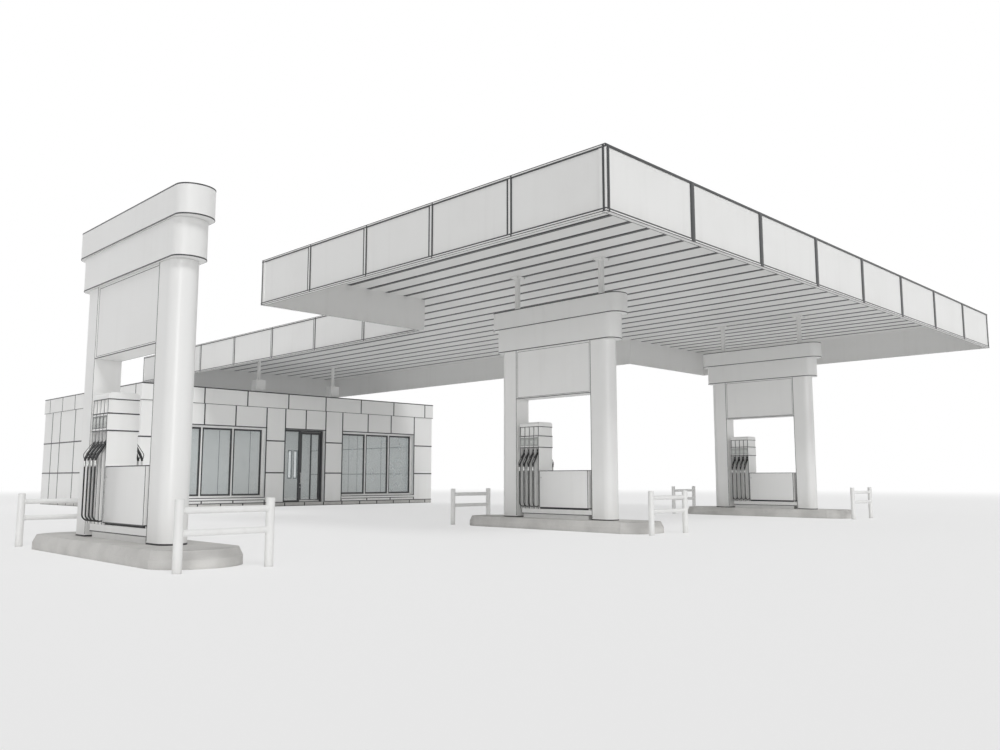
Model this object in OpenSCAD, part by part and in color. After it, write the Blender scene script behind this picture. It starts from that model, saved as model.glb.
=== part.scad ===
// Filling station: a T-shaped canopy on pylons, three pump islands and a flat-roofed shop.

/* [Canopy] */
// Length of the main roof
main_length = 20000; // [16000:500:24000]
// Depth of the main roof
main_depth = 10500; // [9000:250:12000]
// Width of the wing that runs back over the shop
wing_width = 10000; // [8000:500:12000]
// Length of the wing beyond the main roof
wing_length = 18700; // [16000:100:20000]
// Clear height under the fascia
clearance = 5325; // [5100:25:5600]
// Height of the fascia
fascia_h = 1105; // [1000:5:1200]
// Height of the soffit above the foot of the fascia
soffit_rise = 885; // [800:5:920]

/* [Pylons and islands] */
// Spacing of the three pylons
pylon_pitch = 10000; // [9000:250:10000]
// Width of a column
column_w = 430; // [360:10:480]
// Height of the foot of the pylon's cap
cap_foot = 4293; // [4000:1:4400]
// Height of the foot of the sign box
sign_foot = 3098; // [2900:1:3300]
// Height of an island
island_h = 235; // [180:5:260]
// Half width of an island at its foot
island_half_w = 655; // [600:5:700]

/* [Dispensers] */
// Height of the hose column above the island
hose_column_h = 2270; // [2100:10:2400]
// Height of the cabinet above the island
cabinet_h = 1110; // [1000:10:1200]
// Nozzle bays on each side
bays = 4; // [2:1:5]
// Diameter of a hose
hose_d = 24; // [20:1:26]

/* [Shop] */
// Width of the shop
shop_width = 14500; // [14000:100:15000]
// Depth of the shop
shop_depth = 10700; // [9500:100:12000]
// Height of the top of the shop's roof edge
shop_h = 4810; // [4600:10:4900]
// Height of the door and window heads
head_h = 3280; // [3000:10:3400]
// Thickness of the shop's walls
wall_t = 300; // [250:10:350]
// Width of the entrance
door_w = 2000; // [1800:50:2400]

/* [Hidden] */
$fn = 48;

// Plan positions are measured from the roof's near corner; the model is centred at the end.
wing_x = (main_length - wing_width) / 2;
wing_end_y = main_depth + wing_length;
pylon_offset = 80;
pylon_y = main_depth / 2 + pylon_offset;
middle_x = main_length / 2 - pylon_pitch / 2;
pylon_x = [for (i = [-1:1]) middle_x + i * pylon_pitch];
shop_offset = 300;
shop_x = main_length / 2 + shop_offset - shop_width / 2;
wing_overlap = 4700;
shop_y = wing_end_y - wing_overlap;

// Fascia
fascia_t = 100;
trim = 12;
rail_h = 35;
strip_w = 80;
main_panels = 8;
front_panels = 5;
wing_panels = 7;
end_panels = 4;
return_panels = 2;

// Soffit and deck
plank_t = 50;
plank_gap = 80;
deck_t = 40;
side_planks = 8;
wing_planks = 14;
soffit_z = clearance + soffit_rise;
deck_z = soffit_z + plank_t;
post_d = 140;
head_plate_w = 320;
head_plate_t = 15;

// Pylon, as half lengths from its centre and rises of its arcs
column_in = 1175;
column_out = 1490;
column_rise = 130;
lower_tier = [260, 1625, 158];
upper_tier = [290, 1760, 170];
tier_step = 573;
sign_half_w = 205;

// Island outline: half width, half length to the corner, rise of the end
island_foot = [island_half_w, 2245, 505];
island_top = [island_half_w - 50, 2210, 490];
island_edge_h = 120;

// Guard rails
rail_post_d = 116;
rail_post_h = 896;
rail_post_x = 626;
rail_y = 3018;
rail_d = 85;
rail_heights = [484, 762];

// Dispenser, in y from the pylon's centre and in height from the island's top
plinth_foot = 95;
plinth_top = 215;
cabinet_foot = 245;
cabinet_half_w = 232;
cabinet_y = [-1050, 425];
hose_column_y = [425, 1030];
core_half_w = 130;
head_half_w = 222;
fin_half_w = 240;
fin_t = 22;
display_z = 1655;
band_z = 1945;
band_lip = 8;
crown_z = 2150;
crown_lip = 6;
crown_r = 70;
foot_inset = [60, 40];
plinth_inset = [20, 30];
neck_inset = [40, 20];
bay_w = (hose_column_y[1] - hose_column_y[0] - fin_t) / bays;

// Nozzle and hose, in x from the pylon's centre and in height from the island's top
nozzle_d = 44;
spout_d = 24;
guard_t = 20;
neck_d = 38;
tail_d = 32;
nozzle_spout = [core_half_w + 25, 1580];
nozzle_top = [195, 1525];
nozzle_elbow = [330, 1290];
guard_outline = [[215, 1490], [262, 1480], [384, 1310], [386, 1272], [368, 1215], [330, 1285]];
nozzle_neck = [360, 1230];
tail_top = [360, 1245];
nozzle_tail = [360, 1140];
holster = [50, 50, 130];
holster_z = 1490;
hose_gap = 5;
hose_inlet = [core_half_w + 35, display_z];
hose_shift = holster[1] / 2 + hose_gap + hose_d / 2;
hose_low = 265;

// Shop
shop_floor_h = 150;
roof_t = 220;
edge_foot = 4140;
edge_projection = 40;
edge_t = 150;
roof_inset = edge_t - edge_projection;
corner_pier = 1150;
inner_pier = 950;
window_w = (shop_width - door_w) / 2 - corner_pier - inner_pier;
sill_z = 400;
sill_t = 130;
sill_projection = 35;
sill_overhang = 20;
panes = 3;
frame_t = 70;
frame_depth = 90;
mullion_w = 55;
sash_t = 60;
sash_depth = 50;
back_window_x = 1010;
back_window_w = 800;
back_window_z = 1090;
back_window_h = 1760;
back_panes = 2;
setback = 190;
glass_t = 16;
window_x = [corner_pier, shop_width - corner_pier - window_w];
door_x = corner_pier + window_w + inner_pier;
sidelight_w = 800;
leaf_gap = 8;
floor_gap = 10;
leaf_x = [door_x + sidelight_w + frame_t + leaf_gap, door_x + door_w - frame_t - leaf_gap];
leaf_z = [shop_floor_h + floor_gap, head_h - frame_t - leaf_gap];
leaf_t = 50;
stile_w = 90;
leaf_bar_w = 40;
leaf_bar_x = leaf_x[0] + 560;
leaf_y = setback + frame_depth - leaf_t;
hinge_r = 9;
hinge_plate_t = 4;
hinge_plate_w = 45;
hinge_x = leaf_x[1] + leaf_gap / 2;
hinge_y = leaf_y + leaf_t + hinge_r;
hinge_h = 60;
hinge_gap = 1;
hinge_pin_r = 4;
hinge_pin_fit = 0.05;
hinge_zs = [450, 1700, 2950];

// Posts on the shop's roof that carry the wing
stub_w = 430;
stub_spacing = 3740;
stub_offset = 30;
stub_x = [(main_length - stub_spacing) / 2, (main_length + stub_spacing) / 2];
stub_y = shop_y + roof_inset + stub_w / 2 + stub_offset;

// Extent of the whole model in plan, and how far a cut runs past what it cuts
low_x = pylon_x[0] - rail_post_x - rail_post_d / 2;
high_x = main_length;
high_y = shop_y + shop_depth + edge_projection;
overcut = 1;

// Span [from, to] made longer at both ends
function grown(span, by) = [span[0] - by, span[1] + by];

// Puts the middle of the plan at the origin
module placed()
    translate([-(low_x + high_x) / 2, -high_y / 2, 0])
        children();

// Half of a plan with a segmental end: straight sides up to y = length, then an arc that rises by rise
module nose_plan(half_w, length, rise) {
    radius = (half_w * half_w + rise * rise) / (2 * rise);
    translate([-half_w, 0])
        square([2 * half_w, length]);
    intersection() {
        translate([0, length + rise - radius])
            circle(radius, $fn = 96);
        translate([-half_w, length - overcut])
            square([2 * half_w, rise + 2 * overcut]);
    }
}

// Whole plan with a segmental end both ways; outline is [half width, half length, rise]
module double_nose_plan(outline)
    for (turn = [0, 180])
        rotate(turn)
            nose_plan(outline[0], outline[1], outline[2]);

// Straight run of fascia along +X, outer face at y = 0 looking to -Y
module fascia_run(run, panels, inset_start = 0, inset_end = 0) {
    length = run - inset_start - inset_end;
    translate([inset_start, trim, 0])
        cube([length, fascia_t - trim, fascia_h]);
    for (z = [0, fascia_h - rail_h])
        translate([inset_start, 0, z])
            cube([length, trim, rail_h]);
    for (i = [0:panels]) {
        strip_from = max(inset_start, min(run - inset_end - strip_w / 2, i * run / panels - strip_w / 2));
        strip_to = min(run - inset_end, max(inset_start + strip_w / 2, i * run / panels + strip_w / 2));
        translate([strip_from, 0, 0])
            cube([strip_to - strip_from, trim, fascia_h]);
    }
}

module fascia_right()
    color("white")
        placed()
            translate([0, 0, clearance])
                fascia_run(main_length, main_panels);

module fascia_front()
    color("white")
        placed()
            translate([0, main_depth, clearance])
                rotate(-90)
                    fascia_run(main_depth, front_panels, fascia_t, fascia_t);

module fascia_back()
    color("white")
        placed()
            translate([main_length, 0, clearance])
                rotate(90)
                    fascia_run(main_depth, front_panels, fascia_t, fascia_t);

// Two short runs beside the wing, which reach behind the wing's own fascia
module fascia_returns()
    color("white")
        placed()
            for (x = [wing_x + fascia_t, main_length])
                translate([x, main_depth, clearance])
                    rotate(180)
                        fascia_run(wing_x + fascia_t, return_panels);

module wing_fascia_sides()
    color("white")
        placed() {
            translate([wing_x, wing_end_y, clearance])
                rotate(-90)
                    fascia_run(wing_length, wing_panels, fascia_t, 0);
            translate([wing_x + wing_width, main_depth, clearance])
                rotate(90)
                    fascia_run(wing_length, wing_panels, 0, fascia_t);
        }

module wing_fascia_end()
    color("white")
        placed()
            translate([wing_x + wing_width, wing_end_y, clearance])
                rotate(180)
                    fascia_run(wing_width, end_panels);

module main_deck()
    color("lightgray")
        placed()
            translate([fascia_t, fascia_t, deck_z])
                cube([main_length - 2 * fascia_t, main_depth - 2 * fascia_t, deck_t]);

module wing_deck()
    color("lightgray")
        placed()
            translate([wing_x + fascia_t, main_depth - fascia_t, deck_z])
                cube([wing_width - 2 * fascia_t, wing_length, deck_t]);

// Planks along Y between x_from and x_to, on a pitch set out from pitch_from
module planks(x_from, x_to, pitch_from, pitch, count, length)
    for (i = [0:count - 1]) {
        plank_from = max(x_from, pitch_from + i * pitch + plank_gap / 2);
        plank_to = min(x_to, pitch_from + (i + 1) * pitch - plank_gap / 2);
        translate([plank_from, fascia_t, soffit_z])
            cube([plank_to - plank_from, length, plank_t]);
    }

module side_soffits()
    color("gainsboro")
        placed()
            for (x = [0, wing_x + wing_width])
                planks(max(x, fascia_t), min(x + wing_x, main_length - fascia_t), x, wing_x / side_planks,
                    side_planks, main_depth - 2 * fascia_t);

module centre_soffit()
    color("gainsboro")
        placed()
            planks(wing_x + fascia_t, wing_x + wing_width - fascia_t, wing_x, wing_width / wing_planks,
                wing_planks, wing_end_y - 2 * fascia_t);

// Round post that stands at the fascia's foot, with a head plate under the soffit's planks
module round_post() {
    translate([0, 0, clearance])
        cylinder(h = soffit_rise - head_plate_t, d = post_d);
    translate([-head_plate_w / 2, -head_plate_w / 2, soffit_z - head_plate_t])
        cube([head_plate_w, head_plate_w, head_plate_t]);
}

module canopy_posts()
    color("gainsboro")
        placed()
            for (i = [1, 2], side = [-1, 1])
                translate([pylon_x[i], pylon_y + side * (column_in + column_out) / 2, 0])
                    round_post();

module pylon(i)
    color("white")
        placed()
            for (turn = [0, 180])
                translate([pylon_x[i], pylon_y, island_h])
                    rotate(turn)
                        linear_extrude(cap_foot - island_h)
                            difference() {
                                nose_plan(column_w / 2, column_out, column_rise);
                                translate([-column_w, -overcut])
                                    square([2 * column_w, column_in + overcut]);
                            }

module pylon_left() pylon(0);
module pylon_middle() pylon(1);
module pylon_right() pylon(2);

module pylon_caps()
    color("white")
        placed()
            for (x = pylon_x)
                translate([x, pylon_y, cap_foot]) {
                    linear_extrude(tier_step)
                        double_nose_plan(lower_tier);
                    translate([0, 0, tier_step])
                        linear_extrude(clearance - cap_foot - tier_step)
                            double_nose_plan(upper_tier);
                }

module sign_boxes()
    color("whitesmoke")
        placed()
            for (x = pylon_x)
                translate([x - sign_half_w, pylon_y - column_in, sign_foot])
                    cube([2 * sign_half_w, 2 * column_in, cap_foot - sign_foot]);

module island(i)
    color("silver")
        placed()
            translate([pylon_x[i], pylon_y, 0])
                hull() {
                    linear_extrude(island_edge_h)
                        double_nose_plan(island_foot, $fn = 32);
                    linear_extrude(island_h)
                        double_nose_plan(island_top, $fn = 32);
                }

module island_left() island(0);
module island_middle() island(1);
module island_right() island(2);

// A guard rail stands across each end of each island
module guard_rail() {
    for (side = [-1, 1])
        translate([side * rail_post_x, 0, 0])
            cylinder(h = rail_post_h, d = rail_post_d);
    for (z = rail_heights)
        translate([-rail_post_x, 0, z])
            rotate([0, 90, 0])
                cylinder(h = 2 * rail_post_x, d = rail_d);
}

module guard_rails()
    color("white")
        placed()
            for (x = pylon_x, side = [-1, 1])
                translate([x, pylon_y + side * rail_y, 0])
                    guard_rail();

// Box given by its half width in X, its [from, to] in Y and its [from, to] in Z
module slab(half_w, y, z)
    translate([-half_w, y[0], z[0]])
        cube([2 * half_w, y[1] - y[0], z[1] - z[0]]);

module cabinets()
    color("whitesmoke")
        placed()
            for (x = pylon_x)
                translate([x, pylon_y, island_h]) {
                    slab(cabinet_half_w - foot_inset[0],
                        [cabinet_y[0] + foot_inset[1], hose_column_y[1] - foot_inset[1]], [0, plinth_foot]);
                    slab(cabinet_half_w - plinth_inset[0], [-column_in, hose_column_y[1] - plinth_inset[1]],
                        [plinth_foot, plinth_top]);
                    slab(cabinet_half_w - neck_inset[0], [cabinet_y[0] + neck_inset[1], cabinet_y[1]],
                        [plinth_top, cabinet_foot]);
                    slab(cabinet_half_w, cabinet_y, [cabinet_foot, cabinet_h]);
                }

// Cap of the hose column: a flat block whose long upper edges are round
module crown() {
    half_w = fin_half_w + crown_lip;
    rise = hose_column_h - crown_z;
    span = grown(hose_column_y, crown_lip);
    translate([0, span[1], crown_z])
        rotate([90, 0, 0])
            linear_extrude(span[1] - span[0]) {
                translate([-half_w, 0])
                    square([2 * half_w, rise - crown_r]);
                translate([-half_w + crown_r, 0])
                    square([2 * (half_w - crown_r), rise]);
                for (side = [-1, 1])
                    translate([side * (half_w - crown_r), rise - crown_r])
                        circle(crown_r);
            }
}

// Core with fins that part its bays, a box round the displays, and the crown
module hose_column(i)
    color("whitesmoke")
        placed()
            translate([pylon_x[i], pylon_y, island_h]) {
                slab(core_half_w, hose_column_y, [plinth_top, display_z]);
                slab(fin_half_w + band_lip, grown(hose_column_y, band_lip), [display_z, band_z]);
                slab(head_half_w, hose_column_y, [band_z, crown_z]);
                for (k = [0:bays])
                    translate([0, hose_column_y[0] + k * bay_w, 0])
                        slab(fin_half_w, [0, fin_t], [plinth_top, crown_z]);
                crown();
            }

module hose_column_left() hose_column(0);
module hose_column_middle() hose_column(1);
module hose_column_right() hose_column(2);

// Puts a child in every bay of a dispenser, drawn in x and z with +X away from the dispenser
module in_bays(i)
    for (turn = [0, 180], k = [0:bays - 1])
        translate([pylon_x[i], pylon_y + hose_column_y[0] + fin_t / 2 + (k + 0.5) * bay_w, island_h])
            rotate(turn)
                children();

// Round bar from a to b, both [x, z]
module bar(a, b, d)
    translate([a[0], 0, a[1]])
        rotate([0, atan2(b[0] - a[0], b[1] - a[1]), 0])
            cylinder(h = norm(b - a), d = d);

// Spout in its holster, sloping body with its lever and guard, and the swivel the hose hangs from
module nozzle() {
    bar(nozzle_spout, nozzle_top, spout_d);
    bar(nozzle_top, nozzle_elbow, nozzle_d);
    bar(nozzle_elbow, nozzle_neck, neck_d);
    bar(tail_top, nozzle_tail, tail_d);
    translate([0, guard_t / 2, 0])
        rotate([90, 0, 0])
            linear_extrude(guard_t)
                polygon(guard_outline);
    translate([core_half_w, -holster[1] / 2, holster_z])
        cube(holster);
}

module nozzles()
    color("dimgray")
        placed()
            for (i = [0:2])
                in_bays(i)
                    nozzle();

// Points of a hose: down from the nozzle, round the loop and up beside the nozzle to the head
hose_middle_x = (nozzle_tail[0] + hose_inlet[0]) / 2;
hose_half_w = (nozzle_tail[0] - hose_inlet[0]) / 2;
hose_turn_z = hose_low + hose_half_w;
hose_points = concat(
    [[nozzle_tail[0], 0, nozzle_tail[1]]],
    [for (a = [0:-18:-180])
        [hose_middle_x + hose_half_w * cos(a),
            hose_shift * (1 - cos(a)) / 2,
            hose_turn_z + hose_half_w * sin(a)]],
    [[hose_inlet[0], hose_shift, hose_inlet[1]]]);

// Tube of eight sides along points that never run along Y
module tube_along(points, d) {
    sides = 8;
    last = len(points) - 1;
    ring_points = [for (i = [0:last])
        let (
            along = points[min(i + 1, last)] - points[max(i - 1, 0)],
            u = cross([0, 1, 0], along) / norm(cross([0, 1, 0], along)),
            v = cross(along, u) / norm(along))
        for (k = [0:sides - 1])
            points[i] + d / 2 * (u * cos(k * 360 / sides) + v * sin(k * 360 / sides))];
    walls = [for (i = [0:last - 1], k = [0:sides - 1])
        let (n = (k + 1) % sides)
            [i * sides + k, i * sides + n, (i + 1) * sides + n, (i + 1) * sides + k]];
    ends = [[for (k = [sides - 1:-1:0]) k], [for (k = [0:sides - 1]) last * sides + k]];
    polyhedron(ring_points, concat(ends, walls), convexity = 4);
}

module hoses(i)
    color("black")
        placed()
            in_bays(i)
                tube_along(hose_points, hose_d);

module hoses_left() hoses(0);
module hoses_middle() hoses(1);
module hoses_right() hoses(2);

// Places children at the shop's near left corner
module at_shop()
    placed()
        translate([shop_x, shop_y, 0])
            children();

module shop_floor()
    color("silver")
        at_shop()
            cube([shop_width, shop_depth, shop_floor_h]);

// A piece of the front wall with one window in it
module front_wall(x_from, x_to, x_window) {
    color("white")
        at_shop() {
            difference() {
                translate([x_from, 0, shop_floor_h])
                    cube([x_to - x_from, wall_t, edge_foot - shop_floor_h]);
                translate([x_window, -overcut, sill_z])
                    cube([window_w, wall_t + 2 * overcut, head_h - sill_z]);
            }
            translate([x_window - sill_overhang, -sill_projection, sill_z - sill_t])
                cube([window_w + 2 * sill_overhang, sill_projection, sill_t]);
        }
}

module front_wall_left() front_wall(0, door_x, window_x[0]);
module front_wall_right() front_wall(door_x + door_w, shop_width, window_x[1]);

module front_wall_head()
    color("white")
        at_shop()
            translate([door_x, 0, head_h])
                cube([door_w, wall_t, edge_foot - head_h]);

module shop_side_walls()
    color("white")
        at_shop()
            for (x = [0, shop_width - wall_t])
                translate([x, wall_t, shop_floor_h])
                    cube([wall_t, shop_depth - 2 * wall_t, edge_foot - shop_floor_h]);

// Places children at the shop's far right corner, turned to face away from the front
module at_shop_back()
    at_shop()
        translate([shop_width, shop_depth, 0])
            rotate(180)
                children();

module shop_back_wall()
    color("white")
        at_shop_back()
            difference() {
                translate([0, 0, shop_floor_h])
                    cube([shop_width, wall_t, edge_foot - shop_floor_h]);
                translate([back_window_x, -overcut, back_window_z])
                    cube([back_window_w, wall_t + 2 * overcut, back_window_h]);
            }

module shop_roof()
    color("silver")
        at_shop()
            translate([roof_inset, roof_inset, edge_foot])
                cube([shop_width - 2 * roof_inset, shop_depth - 2 * roof_inset, roof_t]);

// Upstands round the roof: the long pair runs over the corners
module roof_edge_long()
    color("white")
        at_shop()
            for (y = [-edge_projection, shop_depth + edge_projection - edge_t])
                translate([-edge_projection, y, edge_foot])
                    cube([shop_width + 2 * edge_projection, edge_t, shop_h - edge_foot]);

module roof_edge_short()
    color("white")
        at_shop()
            for (x = [-edge_projection, shop_width + edge_projection - edge_t])
                translate([x, roof_inset, edge_foot])
                    cube([edge_t, shop_depth - 2 * roof_inset, shop_h - edge_foot]);

// Windows as [width, height, number of panes]
front_window = [window_w, head_h - sill_z, panes];
back_window = [back_window_w, back_window_h, back_panes];

// Places its first child at each front window's corner and its second at the back window's
module at_windows() {
    at_shop()
        for (x = window_x)
            translate([x, setback, sill_z])
                children(0);
    at_shop_back()
        translate([back_window_x, setback, back_window_z])
            children(1);
}

// Clear width of one pane's bay, between the frame's bars
function clear_w(window) =
    (window[0] - 2 * frame_t - (window[2] - 1) * mullion_w) / window[2];

// Places children at the foot of each bay
module at_panes(window)
    for (k = [0:window[2] - 1])
        translate([frame_t + k * (clear_w(window) + mullion_w), 0, frame_t])
            children();

module window_frame(window)
    difference() {
        cube([window[0], frame_depth, window[1]]);
        at_panes(window)
            translate([0, -overcut, 0])
                cube([clear_w(window), frame_depth + 2 * overcut, window[1] - 2 * frame_t]);
    }

module sash_row(window) {
    bay = [clear_w(window), window[1] - 2 * frame_t];
    at_panes(window)
        translate([0, (frame_depth - sash_depth) / 2, 0])
            difference() {
                cube([bay[0], sash_depth, bay[1]]);
                translate([sash_t, -overcut, sash_t])
                    cube([bay[0] - 2 * sash_t, sash_depth + 2 * overcut, bay[1] - 2 * sash_t]);
            }
}

module glass_row(window) {
    inset = 2 * (frame_t + sash_t);
    at_panes(window)
        translate([sash_t, (frame_depth - glass_t) / 2, sash_t])
            cube([clear_w(window) - 2 * sash_t, glass_t, window[1] - inset]);
}

module window_frames()
    color("white")
        at_windows() {
            window_frame(front_window);
            window_frame(back_window);
        }

module window_sashes()
    color("dimgray")
        at_windows() {
            sash_row(front_window);
            sash_row(back_window);
        }

module window_glass()
    color("lightblue", 0.4)
        at_windows() {
            glass_row(front_window);
            glass_row(back_window);
        }

// Frame of the entrance: jambs, head, the bar beside the side light, and the hinges' lower halves
module entrance_frame()
    color("dimgray")
        at_shop() {
            for (x = [door_x, door_x + sidelight_w, door_x + door_w - frame_t])
                translate([x, setback, shop_floor_h])
                    cube([frame_t, frame_depth, head_h - frame_t - shop_floor_h]);
            translate([door_x, setback, head_h - frame_t])
                cube([door_w, frame_depth, frame_t]);
            translate([door_x + frame_t, setback, shop_floor_h])
                cube([sidelight_w - frame_t, frame_depth, frame_t]);
            for (z = hinge_zs) {
                hinge_half(z - hinge_h, 1);
                translate([hinge_x, hinge_y, z])
                    cylinder(h = hinge_h + hinge_gap, r = hinge_pin_r);
            }
        }

module entrance_glass()
    color("lightblue", 0.4)
        at_shop()
            translate([door_x + frame_t, setback + (frame_depth - glass_t) / 2, shop_floor_h + frame_t])
                cube([sidelight_w - frame_t, glass_t, head_h - shop_floor_h - 2 * frame_t]);

// One half of a hinge: a knuckle on the pivot line, and its plate to the side that the sign gives
module hinge_half(z, side)
    translate([hinge_x, hinge_y, z]) {
        cylinder(h = hinge_h, r = hinge_r);
        translate([min(0, side * hinge_plate_w), -hinge_r, 0])
            cube([hinge_plate_w, hinge_plate_t, hinge_h]);
    }

// Rails and stiles round two panes, with the bar between them
module leaf_frame() {
    leaf_w = leaf_x[1] - leaf_x[0];
    leaf_h = leaf_z[1] - leaf_z[0];
    translate([leaf_x[0], leaf_y, leaf_z[0]])
        difference() {
            cube([leaf_w, leaf_t, leaf_h]);
            translate([stile_w, -overcut, stile_w])
                cube([leaf_w - 2 * stile_w, leaf_t + 2 * overcut, leaf_h - 2 * stile_w]);
        }
    translate([leaf_bar_x - leaf_bar_w / 2, leaf_y, leaf_z[0] + stile_w])
        cube([leaf_bar_w, leaf_t, leaf_h - 2 * stile_w]);
}

// Door leaf with the upper halves of its hinges, bored for the pins
module door_leaf()
    color("dimgray")
        at_shop()
            difference() {
                union() {
                    leaf_frame();
                    for (z = hinge_zs)
                        hinge_half(z + hinge_gap, -1);
                }
                for (z = hinge_zs)
                    translate([hinge_x, hinge_y, z])
                        cylinder(h = hinge_h + hinge_gap + overcut, r = hinge_pin_r + hinge_pin_fit);
            }

module door_glass()
    color("lightblue", 0.4)
        at_shop()
            for (x = [[leaf_x[0] + stile_w, leaf_bar_x - leaf_bar_w / 2],
                [leaf_bar_x + leaf_bar_w / 2, leaf_x[1] - stile_w]])
                translate([x[0], leaf_y + (leaf_t - glass_t) / 2, leaf_z[0] + stile_w])
                    cube([x[1] - x[0], glass_t, leaf_z[1] - leaf_z[0] - 2 * stile_w]);

// Two square piers on the shop's roof, each with a round post up to the soffit
module roof_posts()
    color("white")
        placed()
            for (x = stub_x)
                translate([x, stub_y, 0]) {
                    translate([-stub_w / 2, -stub_w / 2, edge_foot + roof_t])
                        cube([stub_w, stub_w, clearance - edge_foot - roof_t]);
                    round_post();
                }

fascia_right();
fascia_front();
fascia_back();
fascia_returns();
wing_fascia_sides();
wing_fascia_end();
main_deck();
wing_deck();
side_soffits();
centre_soffit();
canopy_posts();
pylon_left();
pylon_middle();
pylon_right();
pylon_caps();
sign_boxes();
island_left();
island_middle();
island_right();
guard_rails();
cabinets();
hose_column_left();
hose_column_middle();
hose_column_right();
nozzles();
hoses_left();
hoses_middle();
hoses_right();
shop_floor();
front_wall_left();
front_wall_right();
front_wall_head();
shop_side_walls();
shop_back_wall();
shop_roof();
roof_edge_long();
roof_edge_short();
window_frames();
window_sashes();
window_glass();
entrance_frame();
entrance_glass();
door_leaf();
door_glass();
roof_posts();
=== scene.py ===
"""Filling station: pylons over pump islands, a T-shaped canopy and a glazed shop, in one shared frame."""

import math

import bmesh
import bpy
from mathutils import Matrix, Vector


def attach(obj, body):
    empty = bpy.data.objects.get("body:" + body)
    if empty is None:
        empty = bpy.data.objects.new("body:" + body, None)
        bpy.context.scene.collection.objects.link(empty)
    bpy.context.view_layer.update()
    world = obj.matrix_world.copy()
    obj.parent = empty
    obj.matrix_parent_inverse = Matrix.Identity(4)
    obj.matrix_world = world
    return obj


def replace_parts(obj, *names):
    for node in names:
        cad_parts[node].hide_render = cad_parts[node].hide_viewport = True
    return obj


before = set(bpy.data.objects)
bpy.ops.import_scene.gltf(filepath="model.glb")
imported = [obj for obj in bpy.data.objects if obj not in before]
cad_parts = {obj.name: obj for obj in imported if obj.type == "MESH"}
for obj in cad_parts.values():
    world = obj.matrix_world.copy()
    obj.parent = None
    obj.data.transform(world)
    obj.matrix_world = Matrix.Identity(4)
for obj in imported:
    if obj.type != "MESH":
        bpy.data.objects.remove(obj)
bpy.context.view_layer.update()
scene = bpy.context.scene

# Plan positions are measured from the roof's near corner, as in the model's source
PLAN_MIDDLE = Vector((7.158, 17.62, 0))

# Canopy
MAIN_L, MAIN_D = 20.0, 10.5
WING_X = (5.0, 15.0)
WING_END = 29.2
FASCIA_FOOT, FASCIA_TOP = 5.325, 6.43
FASCIA_T = 0.1
JOINT_REVEAL, JOINT_LIP, JOINT_CAP = 0.066, -0.024, 0.02
TRIM = 0.012
RAIL_H = 0.035
SOFFIT_Z, DECK_Z, DECK_TOP = 6.21, 6.26, 6.30
SIDE_PLANKS, CENTRE_PLANKS = 8, 14
PLANK_GAP, BORDER_GAP = 0.08, 0.14
DECK_BAYS, RIB_MARGIN = 32, 0.16

# Pylons and islands
PYLON_X = (-5.0, 5.0, 15.0)
PYLON_NAMES = ("left", "middle", "right")
PYLON_Y = 5.33
ISLAND_H = 0.235
CAP_FOOT, CAP_STEP = 4.293, 4.866
SIGN_FOOT, SIGN_HALF_W, SIGN_FRAME = 3.098, 0.205, 0.03
POST_OFFSET = 1.3325

# Shells of the pylons, each shape as its half width, straight half length and the rise of its round end
PORTAL_Y = 5.365
COLUMN, LOWER_TIER, UPPER_TIER = (0.217, 1.485, 0.215), (0.262, 1.645, 0.210), (0.292, 1.775, 0.240)
COLUMN_INNER_Y = (4.190, 6.505)
NOSE_STEPS, FOLD = 24, 0.005

# Guard rails
RAIL_POST_X, RAIL_POST_Y, RAIL_POST_R, RAIL_POST_TOP = 0.626, 3.018, 0.058, 0.896
RAIL_BAR_Z = (0.484, 0.762)

# Dispensers, in y from the pylon's centre
CABINET_HALF_W, CABINET_Y, CABINET_Z = 0.232, (-1.050, 0.425), (0.480, 1.345)
CABINET_DOOR_Y, CABINET_DOOR_Z, LOCK_Z = (-1.030, 0.405), (0.497, 1.328), 1.185
NECK_HALF_W, NECK_Y = 0.192, (-1.030, 0.425)
PLINTH_HALF_W, PLINTH_Y, PLINTH_Z = 0.212, (-1.140, 1.000), (0.330, 0.450)
HOSE_COLUMN_Y = (0.425, 1.03)
FIN_HALF_W, FIN_T = 0.240, 0.022
BAYS = 4
BAY_W = (HOSE_COLUMN_Y[1] - HOSE_COLUMN_Y[0] - FIN_T) / BAYS
DISPLAY_HALF_W, DISPLAY_Y, DISPLAY_Z = 0.248, (0.417, 1.038), (1.890, 2.180)
SCREEN_Z, SCREEN_INSET = (1.935, 2.135), 0.019
CROWN_HALF_W, CROWN_Y, CROWN_Z = 0.246, (0.419, 1.036), 2.385
SEAM = 0.016

# Hoses, in x from the pylon's centre and in height from the island's top
HOSE_D = 0.024
HOSE_TAIL = (0.360, 1.140)
HOSE_INLET = (0.165, 1.655)
HOSE_SHIFT = 0.042
HOSE_LOW = 0.265

# Shop
SHOP_X, SHOP_Y = (3.05, 17.55), (24.5, 35.2)
SHOP_MIDDLE, SHOP_HALF_W = sum(SHOP_X) / 2, (SHOP_X[1] - SHOP_X[0]) / 2
ROOM_X, ROOM_Y = (3.35, 17.25), (24.8, 34.9)
SHOP_FLOOR, EDGE_FOOT, EDGE_TOP, EDGE_OUT, EDGE_T = 0.15, 4.14, 4.81, 0.04, 0.15
ROOF_TOP = 4.36
HEAD_Z, SILL_Z, SILL_FOOT = 3.28, 0.40, 0.27
WINDOWS_X = ((4.20, 8.35), (12.25, 16.40))
ENTRANCE_X = (9.30, 11.30)
PANE_X, PANE_W, PANE_PITCH, PANE_Z = 0.13, 1.18, 1.355, (0.53, 3.15)
SIDE_LIGHT_X, SIDE_LIGHT_Z = (9.37, 10.10), (0.22, 3.21)
BACK_WINDOW_X = (15.74, 16.54)
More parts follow.
